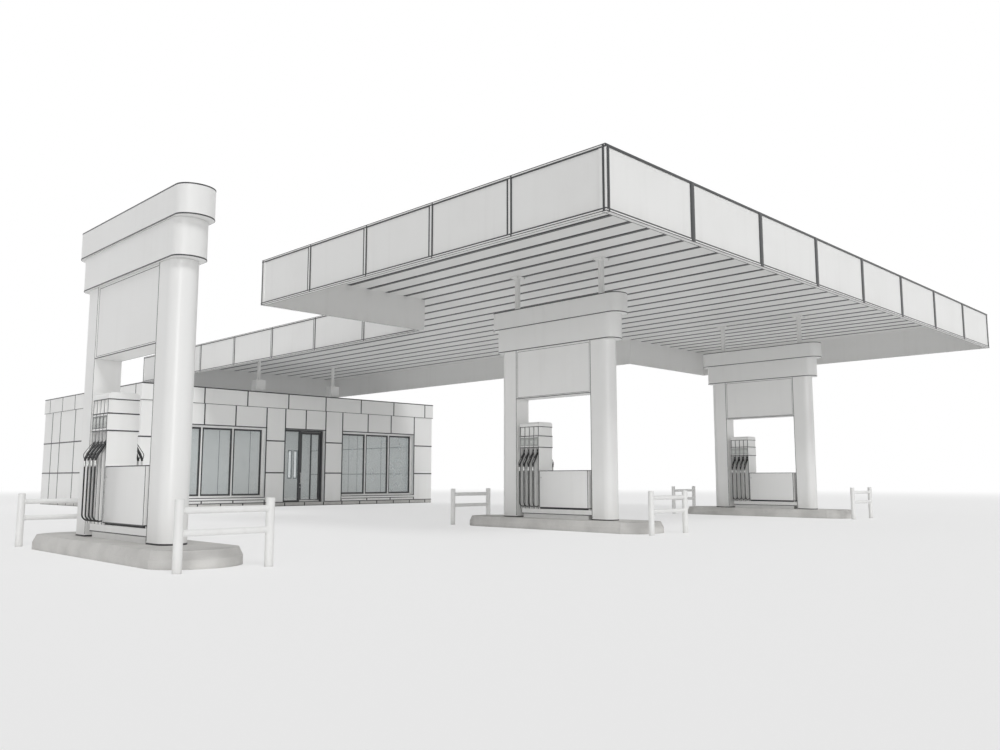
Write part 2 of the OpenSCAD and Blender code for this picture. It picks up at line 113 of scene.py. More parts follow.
BACK_PANES_X, BACK_PANE_W, BACK_PANE_Z = (15.87, 16.2275), 0.1825, (1.22, 2.72)
DOOR_PANES_X, DOOR_PANE_Z = ((10.268, 10.718), (10.758, 11.132)), (0.25, 3.112)
FRONT_GLASS_Y, DOOR_GLASS_Y, BACK_GLASS_Y = 24.735, 24.755, 34.965
GLASS_HALF_T, GASKET = 0.008, 0.012
LEAF_X, LEAF_Y = (10.178, 11.222), (24.73, 24.78)
THRESHOLD_X = (10.17, 11.23)
PULL_Z, ROSES_Z = 0.95, (0.95, 1.40, 0.80)
PIER_X, PIER_Y, PIER_HALF_W = (8.13, 11.87), 24.855, 0.215

UP, DOWN = Vector((0, 0, 1)), Vector((0, 0, -1))
FRONT, BACK, LEFT, RIGHT = (0, -1), (0, 1), (-1, 0), (1, 0)
ZERO = (0, 0, 0)


def plan(point):
    """A point given in plan, moved to the shared frame."""
    return Vector(point) - PLAN_MIDDLE


def placed(name, data, place=ZERO, turn=ZERO):
    """A new object in the scene."""
    thing = bpy.data.objects.new(name, data)
    thing.location, thing.rotation_euler = place, turn
    scene.collection.objects.link(thing)
    return thing


# Camera


def make_camera():
    lens = bpy.data.cameras.new("camera")
    lens.lens = 30.84
    lens.sensor_width = 36
    lens.clip_start = 0.1
    lens.clip_end = 2000
    turn = math.radians(96.923), 0, math.radians(-45.305)
    scene.camera = placed("camera", lens, plan((-10.421, -7.968, 1.147)), turn)


make_camera()


# Node trees


class Signal:
    """An output of a node tree. Arithmetic on it adds Math nodes to that tree."""

    def __init__(self, tree, socket):
        self.tree = tree
        self.socket = socket

    def maths(self, operation, *values):
        return self.tree.add("ShaderNodeMath", dict(enumerate(values)), operation=operation)

    def __add__(self, other):
        return self.maths("ADD", self, other)

    __radd__ = __add__

    def __sub__(self, other):
        return self.maths("SUBTRACT", self, other)

    def __rsub__(self, other):
        return self.maths("SUBTRACT", other, self)

    def __mul__(self, other):
        return self.maths("MULTIPLY", self, other)

    __rmul__ = __mul__

    def max(self, other):
        return self.maths("MAXIMUM", self, other)

    def between(self, low, high):
        """0 up to low, 1 from high, and smooth in between."""
        inputs = {0: self, 1: low, 2: high}
        return self.tree.add("ShaderNodeMapRange", inputs, interpolation_type="SMOOTHSTEP")


class Tree:
    """Adds nodes to a node tree and links them."""

    def __init__(self, node_tree):
        self.nodes = node_tree.nodes
        self.links = node_tree.links

    def put(self, socket, value):
        if isinstance(value, Signal):
            self.links.new(value.socket, socket)
        else:
            socket.default_value = value

    def add(self, kind, inputs, output=0, **settings):
        """Any node, by its type, the values or links of its sockets, and its settings."""
        node = self.nodes.new(kind)
        for name, value in settings.items():
            setattr(node, name, value)
        for name, value in inputs.items():
            self.put(node.inputs[name], value)
        return Signal(self, node.outputs[output])


# Finishes


class Finish(Tree):
    """A material with one Principled shader, and the tree behind it."""

    def __init__(self, name, colour, roughness, **fixed):
        self.material = bpy.data.materials.new(name)
        self.material.use_nodes = True
        self.material.diffuse_color = (*colour, 1)
        super().__init__(self.material.node_tree)
        self.shader = self.nodes["Principled BSDF"]
        self.set("Base Color", (*colour, 1))
        self.set("Roughness", roughness)
        for socket, value in fixed.items():
            self.set(socket if socket.isupper() else socket.replace("_", " ").title(), value)
        self.place = self.add("ShaderNodeTexCoord", {}, "Object")
        self.z = self.add("ShaderNodeSeparateXYZ", {0: self.place}, "Z")

    def set(self, name, value):
        self.put(self.shader.inputs[name], value)

    def noise(self, scale, detail, stretch=(1, 1, 1)):
        """Cloudy noise from 0 to 1, with the number of its lumps in a metre."""
        place = self.add("ShaderNodeMapping", {0: self.place, 3: stretch})
        return self.add("ShaderNodeTexNoise", {"Vector": place, "Scale": scale, "Detail": detail})

    def blend(self, mask, first, second):
        """Colour first where the mask is 0 and second where it is 1."""
        ends = [value if isinstance(value, Signal) else (*value, 1) for value in (first, second)]
        inputs = {0: mask, 6: ends[0], 7: ends[1]}
        return self.add("ShaderNodeMix", inputs, 2, data_type="RGBA", clamp_factor=True)

    def bump(self, height, depth, strength):
        """Relief whose height of 1 is that many metres deep."""
        inputs = {"Height": height, "Distance": depth, "Strength": strength}
        self.set("Normal", self.add("ShaderNodeBump", inputs))


def shaded(colour, share):
    return tuple(channel * share for channel in colour)


def painted_metal(name, colour, roughness=0.38, foot=0.0, foot_fade=0.5, wear=0.08):
    """Powder coat on sheet metal: orange peel, faint rain streaks and splashes near the ground."""
    finish = Finish(name, colour, roughness, coat_roughness=0.25)
    cloud = finish.noise(0.9, 4)
    streak = finish.noise(6, 3, (1, 1, 0.06))
    low = 1 - finish.z.between(foot, foot + foot_fade)
    dirt = (cloud.between(0.45, 0.8) * 0.5 + streak.between(0.5, 0.8) * 0.5) * wear + low * streak * wear * 2
    finish.set("Base Color", finish.blend(dirt, colour, (0.34, 0.32, 0.29)))
    finish.set("Roughness", cloud * 0.16 + (roughness - 0.08) + dirt * 0.6)
    finish.set("Coat Weight", 0.25 - dirt)
    finish.bump(finish.noise(420, 2), 0.0002, 0.35)
    return finish


def concrete(name, colour):
    """Cast concrete: cloudy grey, fine sand, small air holes painted darker with the shade inside them, and
    darker damp patches.
    """
    finish = Finish(name, colour, 0.85)
    cloud = finish.noise(1.7, 6)
    sand = finish.noise(260, 2)
    pit = finish.add("ShaderNodeTexVoronoi", {"Vector": finish.place, "Scale": 55.0})
    hole = 1 - pit.between(0.05, 0.16)
    tone = finish.blend(cloud.between(0.3, 0.7), shaded(colour, 0.86), shaded(colour, 1.06))
    tone = finish.blend(sand.between(0.35, 0.75) * 0.35, tone, shaded(colour, 0.7))
    # The air holes are painted darker than the concrete: painted shade inside the pits.
    finish.set("Base Color", finish.blend(hole * 0.6, tone, shaded(colour, 0.45)))
    finish.set("Roughness", cloud * 0.12 + 0.78)
    finish.bump(sand * 0.3 + cloud * 0.4 - hole, 0.0015, 0.6)
    return finish


def moulded(name, colour, roughness, grain=320.0):
    """Moulded plastic or rubber with a fine eroded grain and rubbed, shinier patches."""
    finish = Finish(name, colour, roughness)
    rub = finish.noise(14, 4).between(0.45, 0.75)
    finish.set("Base Color", finish.blend(rub * 0.5, colour, tuple(channel + 0.035 for channel in colour)))
    finish.set("Roughness", roughness - rub * 0.14 + finish.noise(90, 2) * 0.08)
    finish.bump(finish.noise(grain, 2), 0.0003, 0.4)
    return finish


def bare_metal(name, colour, roughness):
    """Brushed or turned metal with fine scratches and finger marks."""
    finish = Finish(name, colour, roughness, metallic=1.0)
    brushed = finish.noise(90, 2, (1, 1, 9))
    mark = finish.noise(5, 3).between(0.5, 0.8)
    finish.set("Base Color", finish.blend(mark * 0.35, colour, shaded(colour, 0.8)))
    finish.set("Roughness", brushed * 0.2 + (roughness - 0.1) + mark * 0.12)
    finish.bump(brushed, 0.0002, 0.25)
    return finish


def window_glass(name):
    """Float glass: clear face on and more mirror-like at a slant, with a little dust."""
    finish = Finish(name, (0.80, 0.88, 0.90), 0.03, IOR=1.45)
    slant = finish.add("ShaderNodeFresnel", {"IOR": 1.45})
    dust = finish.noise(2.5, 4).between(0.5, 0.85)
    finish.set("Alpha", slant * 0.8 + 0.2 + dust * 0.06)
    finish.set("Roughness", dust * 0.05 + 0.02)
    return finish


PALE = (0.86, 0.86, 0.85)
WHITE = (0.90, 0.90, 0.89)
DARK = (0.035, 0.037, 0.040)

paint_fascia = painted_metal("fascia_paint", WHITE, foot=5.2)
paint_dark = painted_metal("dark_trim_paint", DARK, 0.42, wear=0.05)
paint_soffit = painted_metal("soffit_paint", PALE, 0.45, foot=-9)
paint_pylon = painted_metal("pylon_paint", WHITE, 0.35, foot=0.2, foot_fade=1.0)
paint_wall = painted_metal("wall_panel_paint", WHITE, 0.42, foot=0.15, foot_fade=0.9)
paint_dispenser = painted_metal("dispenser_paint", WHITE, 0.3, foot=0.25, foot_fade=0.4)
paint_rail = painted_metal("rail_paint", PALE, 0.4, foot_fade=0.25, wear=0.16)
deck_metal = painted_metal("roof_deck_paint", (0.70, 0.71, 0.72), 0.5, foot=-9, wear=0.2)
frame_paint = painted_metal("sash_paint", (0.05, 0.052, 0.055), 0.38, foot=0.15, wear=0.05)
roof_skin = moulded("roof_membrane", (0.52, 0.53, 0.54), 0.75, 160.0)
roof_lap = moulded("roof_membrane_lap", (0.44, 0.45, 0.46), 0.7, 160.0)
kerb_concrete = concrete("island_concrete", (0.66, 0.65, 0.63))
floor_concrete = concrete("floor_concrete", (0.62, 0.61, 0.59))
hose_rubber = moulded("hose_rubber", (0.022, 0.022, 0.023), 0.5, 420.0)
nozzle_plastic = moulded("nozzle_plastic", (0.03, 0.03, 0.032), 0.42)
gasket_rubber = moulded("gasket_rubber", (0.02, 0.02, 0.021), 0.6)
display_panel = moulded("display_panel", (0.60, 0.62, 0.60), 0.18, 900.0)
fixing_steel = bare_metal("fixing_steel", (0.62, 0.62, 0.61), 0.32)
glass = window_glass("window_glass")

NODE_FINISHES = {
    paint_fascia: "fascia_right fascia_front fascia_back fascia_returns wing_fascia_sides wing_fascia_end",
    deck_metal: "main_deck wing_deck",
    paint_soffit: "side_soffits centre_soffit",
    paint_pylon: "pylon_left pylon_middle pylon_right pylon_caps sign_boxes canopy_posts roof_posts",
    kerb_concrete: "island_left island_middle island_right",
    paint_rail: "guard_rails",
    paint_dispenser: "cabinets hose_column_left hose_column_middle hose_column_right",
    floor_concrete: "shop_floor",
    paint_wall: "front_wall_left front_wall_right front_wall_head shop_side_walls shop_back_wall"
    " roof_edge_long roof_edge_short window_frames",
    roof_skin: "shop_roof",
    frame_paint: "window_sashes entrance_frame door_leaf",
    glass: "window_glass entrance_glass door_glass",
}
for finish, names in NODE_FINISHES.items():
    for name in names.split():
        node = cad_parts[name]
        node.data.materials.clear()
        node.data.materials.append(finish.material)


# Hoses, one curve each, along the route that the model's source gives


def hose_route():
    """Points of one hose from the head, down, round the loop and up to the nozzle, in its bay."""
    (tail_x, tail_z), (inlet_x, inlet_z) = HOSE_TAIL, HOSE_INLET
    middle_x, half_w = (tail_x + inlet_x) / 2, (tail_x - inlet_x) / 2
    turn_z = HOSE_LOW + half_w
    down = [(inlet_x, HOSE_SHIFT, turn_z + (inlet_z - turn_z) * share / 6) for share in range(6, 0, -1)]
    loop = []
    for step in range(18, -1, -1):
        turn = math.radians(-10 * step)
        aside = HOSE_SHIFT * (1 - math.cos(turn)) / 2
        loop.append((middle_x + half_w * math.cos(turn), aside, turn_z + half_w * math.sin(turn)))
    up = [(tail_x, 0, turn_z + (tail_z - turn_z) * share / 5) for share in range(1, 6)]
    return [Vector(point) for point in down + loop + up]


def bay_places():
    """Every bay, as its pylon's number, its place in plan at the island's top, and 1 or -1 for the side."""
    for pylon, x in enumerate(PYLON_X):
        for side in (1, -1):
            for bay in range(BAYS):
                y = PYLON_Y + HOSE_COLUMN_Y[0] + FIN_T / 2 + (bay + 0.5) * BAY_W
                yield pylon, Vector((x, y, ISLAND_H)), side


def make_hoses():
    route = hose_route()
    for number, (pylon, place, side) in enumerate(bay_places()):
        path = [plan(place + Vector((side * p.x, side * p.y, p.z))) for p in route]
        curve = bpy.data.curves.new("hose", "CURVE")
        curve.dimensions = "3D"
        curve.bevel_depth = HOSE_D / 2
        curve.bevel_resolution = 4
        curve.use_fill_caps = True
        spline = curve.splines.new("POLY")
        spline.points.add(len(path) - 1)
        for point, co in zip(spline.points, path):
            point.co = (*co, 1)
        spline.use_smooth = True
        curve.materials.append(hose_rubber.material)
        hose = placed(f"hose_{PYLON_NAMES[pylon]}_{number % (2 * BAYS) + 1}", curve)
        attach(hose, "station")
        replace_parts(hose, "hoses_" + PYLON_NAMES[pylon])


make_hoses()


# Pieces that repeat, made with Geometry Nodes


def keep_piece(name, mesh, finish, body="station"):
    """Makes a finished mesh a piece that rides on a body."""
    mesh.name = name
    mesh.materials.clear()
    mesh.materials.append(finish.material)
    piece = placed(name, mesh)
    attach(piece, body)
    return piece


class Recipe(Tree):
    """A Geometry Nodes tree with its sizes as named inputs."""

    def __init__(self, name, inputs):
        self.group = bpy.data.node_groups.new(name, "GeometryNodeTree")
        super().__init__(self.group)
        face = self.group.interface
        face.new_socket("Geometry", in_out="OUTPUT", socket_type="NodeSocketGeometry")
        self.keys = {}
        for label, kind in {"Geometry": "Geometry", **inputs, "Finish": "Material"}.items():
            socket = face.new_socket(label, in_out="INPUT", socket_type="NodeSocket" + kind)
            self.keys[label] = socket.identifier
        self.start = self.nodes.new("NodeGroupInput")

    def given(self, label):
        return Signal(self, self.start.outputs[label])

    def attribute(self, name):
        """A vector that the starting mesh carries at each of its points."""
        return self.add("GeometryNodeInputNamedAttribute", {"Name": name}, data_type="FLOAT_VECTOR")

    def end(self, geometry):
        real = self.add("GeometryNodeRealizeInstances", {0: geometry})
        inputs = {"Geometry": real, "Material": self.given("Finish")}
        dressed = self.add("GeometryNodeSetMaterial", inputs)
        self.links.new(dressed.socket, self.nodes.new("NodeGroupOutput").inputs[0])

    def cook(self, name, mesh, finish, slot, body, **values):
        """Runs the tree on a starting mesh and keeps the result as a plain mesh."""
        start = placed(name, mesh)
        modifier = start.modifiers.new("recipe", "NODES")
        modifier.node_group = self.group
        for label, value in {**values, "Finish": finish.material}.items():
            modifier[self.keys[label.replace("_", " ")]] = value
        seen = start.evaluated_get(bpy.context.evaluated_depsgraph_get())
        result = bpy.data.meshes.new_from_object(seen)
        start.modifiers.clear()
        bpy.data.objects.remove(start)
        return keep_piece(name, result, finish, body)


def starting_mesh(name, points, edges, label, vectors):
    """Points in plan, with a vector on each one."""
    mesh = bpy.data.meshes.new(name)
    mesh.from_pydata([plan(point) for point in points], edges, [])
    attribute = mesh.attributes.new(label, "FLOAT_VECTOR", "POINT")
    for item, vector in zip(attribute.data, vectors):
        item.vector = vector
    return mesh


def strip_recipe():
    """Bars along edges. The attribute facing says which way their tops look."""
    sizes = ("Foot Width", "Top Width", "Thickness", "Lift", "Round")
    recipe = Recipe("strips", {size: "Float" for size in sizes})
    line = recipe.add("GeometryNodeMeshToCurve", {0: recipe.given("Geometry")})
    inputs = {"Curve": line, "Normal": recipe.attribute("facing")}
    line = recipe.add("GeometryNodeSetCurveNormal", inputs, mode="FREE")
    inputs = {
        "Bottom Width": recipe.given("Foot Width"),
        "Top Width": recipe.given("Top Width"),
        "Height": recipe.given("Thickness"),
        "Offset": 0.0,
    }
    section = recipe.add("GeometryNodeCurvePrimitiveQuadrilateral", inputs, mode="TRAPEZOID")
    inputs = {"Curve": section, "Count": 2, "Radius": recipe.given("Round"), "Limit Radius": True}
    section = recipe.add("GeometryNodeFilletCurve", inputs, mode="POLY")
    lift = recipe.add("ShaderNodeCombineXYZ", {0: recipe.given("Lift")})
    inputs = {0: section, "Translation": lift, "Rotation": (0, 0, -math.pi / 2)}
    section = recipe.add("GeometryNodeTransform", inputs)
    inputs = {"Curve": line, "Profile Curve": section, "Fill Caps": True}
    recipe.end(recipe.add("GeometryNodeCurveToMesh", inputs))
    return recipe


def copy_recipe():
    """Copies of a pattern on points. The attribute turn gives each one's rotation."""
    recipe = Recipe("copies", {"Pattern": "Object"})
    pattern = recipe.add("GeometryNodeObjectInfo", {"Object": recipe.given("Pattern")}, "Geometry")
    turn = recipe.add("FunctionNodeEulerToRotation", {0: recipe.attribute("turn")})
    inputs = {"Points": recipe.given("Geometry"), "Instance": pattern, "Rotation": turn}
    recipe.end(recipe.add("GeometryNodeInstanceOnPoints", inputs))
    return recipe


STRIPS = strip_recipe()
COPIES = copy_recipe()


def strips(name, runs, finish, slot, width, proud, sunk=0.0, top=None, edge=0.0015, body="station"):
    """Bars laid along runs, each a list of points in plan and the way that the surface there faces."""
    points, edges, facings = [], [], []
    for line, facing in runs:
        first = len(points)
        points += line
        edges += [(first + i, first + i + 1) for i in range(len(line) - 1)]
        facings += facing if isinstance(facing, list) else [facing] * len(line)
    mesh = starting_mesh(name, points, edges, "facing", facings)
    return STRIPS.cook(
        name, mesh, finish, slot, body, Foot_Width=width, Top_Width=width if top is None else top,
        Thickness=proud + sunk, Lift=(proud - sunk) / 2, Round=edge,
    )


def dark_strips(slot, rows, edge=0.0015):
    """Dark strips, from rows of a name, its runs, their width, and their heights out of and into the face."""
    for name, runs, width, proud, sunk in rows:
        strips(name, runs, paint_dark, slot, width, proud, sunk, edge=edge)


def copies(name, pattern, places, finish, slot, body="station"):
    """Copies of a mesh at places, each a point in plan and a turn."""
    points, turns = zip(*places)
    mesh = starting_mesh(name, points, [], "turn", turns)
    template = placed("pattern", pattern)
    piece = COPIES.cook(name, mesh, finish, slot, body, Pattern=template)
    bpy.data.objects.remove(template)
    return piece


# Shapes


def mesh_from(form):
    mesh = bpy.data.meshes.new("shape")
    form.to_mesh(mesh)
    form.free()
    return mesh


def skin(ring_sets):
    """Closed skins over rings of points, smooth but for their sharp edges."""
    form = bmesh.new()
    for rings in ring_sets:
        rows = [[form.verts.new(point) for point in ring] for ring in rings]
        for low, high in zip(rows, rows[1:]):
            for k in range(len(low)):
                n = (k + 1) % len(low)
                form.faces.new((low[k], low[n], high[n], high[k]))
        form.faces.new(rows[0][::-1])
        form.faces.new(rows[-1])
    bmesh.ops.recalc_face_normals(form, faces=form.faces)
    mesh = mesh_from(form)
    mesh.shade_smooth()
    mesh.set_sharp_from_angle(angle=math.radians(35))
    return mesh


def swept(stations, sides, squareness=1.0):
    """Rings along a path in X and Z. A station is x, z, half thickness in that plane and half width in Y."""
    middles = [Vector((x, 0, z)) for x, z, thick, wide in stations]
    rings = []
    for i, (x, z, thick, wide) in enumerate(stations):
        along = (middles[min(i + 1, len(middles) - 1)] - middles[max(i - 1, 0)]).normalized()
        across = Vector((along.z, 0, -along.x))
        ring = []
        for k in range(sides):
            turn = 2 * math.pi * (k + 0.5) / sides
            c, s = math.cos(turn), math.sin(turn)
            aside = Vector((0, wide * math.copysign(abs(s) ** squareness, s), 0))
            ring.append(middles[i] + across * thick * math.copysign(abs(c) ** squareness, c) + aside)
        rings.append(ring)
    return rings


def turned(profile, x=0.0, y=0.0, z=0.0, sides=16):
    """Rings of a shape turned about an upright axis. The profile gives radius and height."""
    turns = [2 * math.pi * k / sides for k in range(sides)]
    return [[Vector((x + r * math.cos(a), y + r * math.sin(a), z + h)) for a in turns] for r, h in profile]


def tube(points, radius):
    """Rings of a round bar through points in X and Z."""
    return swept([(x, z, radius, radius) for x, z in points], 14)


class Face:
    """An upright face in plan: its start, the ways that it runs and looks, and its length."""

    def __init__(self, start, along, facing, length=0):
        self.start = Vector((*start, 0))
        self.along = Vector((*along, 0))
        self.facing = Vector((*facing, 0))
        self.length = length

    def spot(self, distance, z, depth=0.0):
        return self.start + self.along * distance - self.facing * depth + Vector((0, 0, z))

    def upright(self, distance, low, high, depth=0.0):
        return [self.spot(distance, low, depth), self.spot(distance, high, depth)], self.facing

    def uprights(self, places, low, high):
        return [self.upright(place, low, high) for place in places]

    def level(self, z, start=0.0, end=None, depth=0.0):
        end = self.length if end is None else end
        return [self.spot(start, z, depth), self.spot(end, z, depth)], self.facing

    def border(self, start, end, low, high, width):
        """Four runs of strips of that width, just inside a rectangle."""
        half = width / 2
        sides = self.uprights((start + half, end - half), low, high)
        return sides + [self.level(z, start + width, end - width) for z in (low + half, high - half)]


def flanks(x, half_w, y, way=1):
    """Left and right face of a box about x, with distances along them from y. A way of -1 looks inwards."""
    return [Face((x + side * half_w, y), BACK, (side * way, 0)) for side in (-1, 1)]


def band(x, half_w, span, z, y=0.0, way=1, depth=0.0):
    """Level runs round a box: left, right, front and back. Its span is measured from y."""
    faces = flanks(x, half_w, y, way)
    runs = [face.level(z, *span, depth=depth) for face in faces]
    for side, edge in zip((-1, 1), span):
        runs.append(Face((x, y + edge), RIGHT, (0, side * way)).level(z, -half_w, half_w, depth=depth))
    return runs


# Canopy

# Each fascia, its number of panels, and whether each of its ends is an outer corner of the roof
FASCIAS = (
    (Face((0, 0), RIGHT, FRONT, MAIN_L), 8, (True, True)),
    (Face((0, MAIN_D), FRONT, LEFT, MAIN_D), 5, (True, True)),
    (Face((MAIN_L, 0), BACK, RIGHT, MAIN_D), 5, (True, True)),
    (Face((WING_X[0], MAIN_D), LEFT, BACK, WING_X[0]), 2, (False, True)),
    (Face((MAIN_L, MAIN_D), LEFT, BACK, MAIN_L - WING_X[1]), 2, (True, False)),
    (Face((WING_X[0], WING_END), FRONT, LEFT, WING_END - MAIN_D), 7, (True, False)),
    (Face((WING_X[1], MAIN_D), BACK, RIGHT, WING_END - MAIN_D), 7, (False, True)),
    (Face((WING_X[1], WING_END), LEFT, BACK, WING_X[1] - WING_X[0]), 4, (True, True)),
)


def make_fascia_trim():
    caps, reveals, lips, beads, corner_seams = ([] for _ in range(5))
    foot_beads, head_beads, head_caps, drips, copings = ([] for _ in range(5))
    for face, panels, corners in FASCIAS:
        long_face = face.length == MAIN_L
        for i in range(1, panels):
            joint = i * face.length / panels
            if face.along.y:
                low, high = FASCIA_FOOT + RAIL_H, FASCIA_TOP - RAIL_H
                reveals.append(face.upright(joint + JOINT_REVEAL * face.along.y, low, high, depth=TRIM))
                lips.append(face.upright(joint + JOINT_LIP * face.along.y, FASCIA_FOOT, FASCIA_TOP))
            else:
                caps.append(face.upright(joint + JOINT_CAP * face.along.x, FASCIA_FOOT, FASCIA_TOP))
        # The dark corner beads near outer corners are painted shade of the shadow gaps between the panels and
        # the corner posts.
        insets = ((beads, 0.079), (corner_seams, 0.031)) if long_face else ((beads, 0.048),)
        for far, corner in enumerate(corners):
            for runs, inset in insets if corner else ():
                place = face.length - inset if far else inset
                runs.append(face.upright(place, FASCIA_FOOT, FASCIA_TOP))
        foot_beads.append(face.level(FASCIA_FOOT + RAIL_H + 0.0125, depth=TRIM))
        if long_face:
            head_caps.append(face.level(FASCIA_TOP - 0.0225))
        else:
            head_beads.append(face.level(FASCIA_TOP - RAIL_H - 0.014, depth=TRIM))
            drips.append(face.level(FASCIA_TOP - 0.007))
        drips.append(face.level(FASCIA_FOOT + 0.006))
        drips.append((face.level(FASCIA_FOOT, depth=FASCIA_T - 0.012)[0], DOWN))
        copings.append((face.level(FASCIA_TOP, depth=FASCIA_T / 2)[0], UP))
    dark_strips("fascia_panel", (
        ("fascia_joint_caps", caps, 0.126, 0.002, TRIM),
        ("fascia_joint_reveals", reveals, 0.052, 0.002, 0.002),
        ("fascia_joint_lips", lips, 0.034, 0.002, TRIM),
        ("fascia_corner_beads", beads, 0.045, 0.002, TRIM),
        ("fascia_corner_seams", corner_seams, 0.012, 0.002, TRIM),
        ("fascia_foot_beads", foot_beads, 0.025, 0.0125, 0.002),
        ("fascia_head_beads", head_beads, 0.028, 0.0125, 0.002),
        ("fascia_head_caps", head_caps, 0.045, 0.0018, TRIM),
        ("fascia_drips", drips, 0.014, 0.0018, 0.002),
        ("fascia_copings", copings, 0.098, 0.002, 0.004),
    ))


def make_soffit_liners():
    side_pitch = WING_X[0] / SIDE_PLANKS
    centre_pitch = (WING_X[1] - WING_X[0]) / CENTRE_PLANKS
    gaps = [(base + k * side_pitch, MAIN_D) for base in (0, WING_X[1]) for k in range(1, SIDE_PLANKS)]
    gaps += [(WING_X[0] + k * centre_pitch, WING_END) for k in range(1, CENTRE_PLANKS)]
    borders = [(x, MAIN_D) for x in (WING_X[0] + 0.03, WING_X[1] - 0.03)]

    def under(places, z):
        return [([(x, FASCIA_T, z), (x, far - FASCIA_T, z)], DOWN) for x, far in places]

    dark_strips("soffit", (
        ("soffit_liners", under(gaps, DECK_Z), PLANK_GAP - 0.0006, 0.047, 0.0),
        ("soffit_flanges", under(gaps, SOFFIT_Z), PLANK_GAP + 0.06, 0.0015, 0.0005),
        ("soffit_border_liners", under(borders, DECK_Z), BORDER_GAP - 0.0006, 0.047, 0.0),
    ), edge=0.0)


def make_deck_ribs():
    runs = []
    for k in range(1, DECK_BAYS):
        x = k * MAIN_L / DECK_BAYS
        far = WING_END if WING_X[0] + RIB_MARGIN < x < WING_X[1] - RIB_MARGIN else MAIN_D
        runs.append(([(x, RIB_MARGIN, DECK_TOP), (x, far - RIB_MARGIN, DECK_TOP)], UP))
    strips("deck_ribs", runs, deck_metal, "roof_deck", 0.09, 0.04, 0.002, top=0.045, edge=0.003)


POSTS = [(x, PYLON_Y + side * POST_OFFSET) for x in PYLON_X[1:] for side in (-1, 1)]
POSTS += [(x, PIER_Y) for x in PIER_X]


def make_post_fittings():
    def at_posts(name, profile, z):
        places = [((x, y, z), ZERO) for x, y in POSTS]
        copies(name, skin([turned(profile, sides=32)]), places, paint_pylon, "post")

    foot = [(0.070, -0.004), (0.112, -0.004), (0.112, 0.010), (0.108, 0.014), (0.082, 0.016), (0.074, 0.028)]
    at_posts("post_foot_flanges", foot, FASCIA_FOOT)
    plate_z = SOFFIT_Z - 0.015
    at_posts("post_head_collars", [(0.073, -0.024), (0.086, -0.008), (0.090, 0.0)], plate_z)
    washer = turned([(0.020, 0.002), (0.020, -0.003)])
    nut = turned([(0.0145, -0.003), (0.0145, -0.014), (0.012, -0.016)], sides=6)
    thread = turned([(0.008, -0.016), (0.007, -0.023)])
    corners = [(i, j) for i in (-1, 1) for j in (-1, 1)]
    places = [
        ((x + i * 0.125, y + j * 0.125, plate_z), (0, 0, i * 0.4 + j * 0.7))
        for x, y in POSTS
        for i, j in corners
    ]
    copies("head_plate_bolts", skin([washer, nut, thread]), places, fixing_steel, "post")


make_fascia_trim()
make_soffit_liners()
make_deck_ribs()
make_post_fittings()


# Pylons and guard rails


def nose_end(x, shape, end, z, inset=0.0):
    """A level run round an end of a pylon's shape: half an ellipse, and the way that it faces."""
    half_w, half_l, rise = shape[0] - inset, shape[1], shape[2] - inset
    points, ways = [], []
    for k in range(NOSE_STEPS + 1):
        turn = math.pi * (k / NOSE_STEPS - 0.5)
        across, out = math.sin(turn), math.cos(turn)
        points.append(Vector((x + half_w * across, PORTAL_Y + end * (half_l + rise * out), z)))
        ways.append(Vector((across / half_w, end * out / rise, 0)).normalized())
    return points, ways


def column_ring(x, end, inner_y, z, inset):
    """Plan of a column: flat towards the sign and round outside."""
    half_w = COLUMN[0] - inset
    flat = [Vector((x + side * half_w, inner_y + end * inset, z)) for side in (1, -1)]
    return nose_end(x, COLUMN, end, z, inset)[0] + flat


def tier_ring(x, shape, z, inset):
    """Plan of a cap's tier, round at both ends."""
    return nose_end(x, shape, 1, z, inset)[0] + nose_end(x, shape, -1, z, inset)[0][::-1]


def folded(low, high, ring, *shape):
    """Rings of an upright shell whose sheet is folded in at the foot and the head."""
    levels = ((low, FOLD), (low + FOLD, 0), (high - FOLD, 0), (high, FOLD))
    return [[plan(point) for point in ring(*shape, z, inset)] for z, inset in levels]


def make_pylon_shells():
    """Columns and caps with full round ends, in the places of their plainer solids."""
    tiers = []
    for x, name in zip(PYLON_X, PYLON_NAMES):
        ends = zip((-1, 1), COLUMN_INNER_Y)
        columns = [folded(ISLAND_H, CAP_FOOT, column_ring, x, end, inner_y) for end, inner_y in ends]
        piece = keep_piece("columns_" + name, skin(columns), paint_pylon)
        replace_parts(piece, "pylon_" + name)
        for shape, low, high in ((LOWER_TIER, CAP_FOOT, CAP_STEP), (UPPER_TIER, CAP_STEP, FASCIA_FOOT)):
            tiers.append(folded(low, high, tier_ring, x, shape))
    piece = keep_piece("cap_tiers", skin(tiers), paint_pylon)
    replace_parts(piece, "pylon_caps")


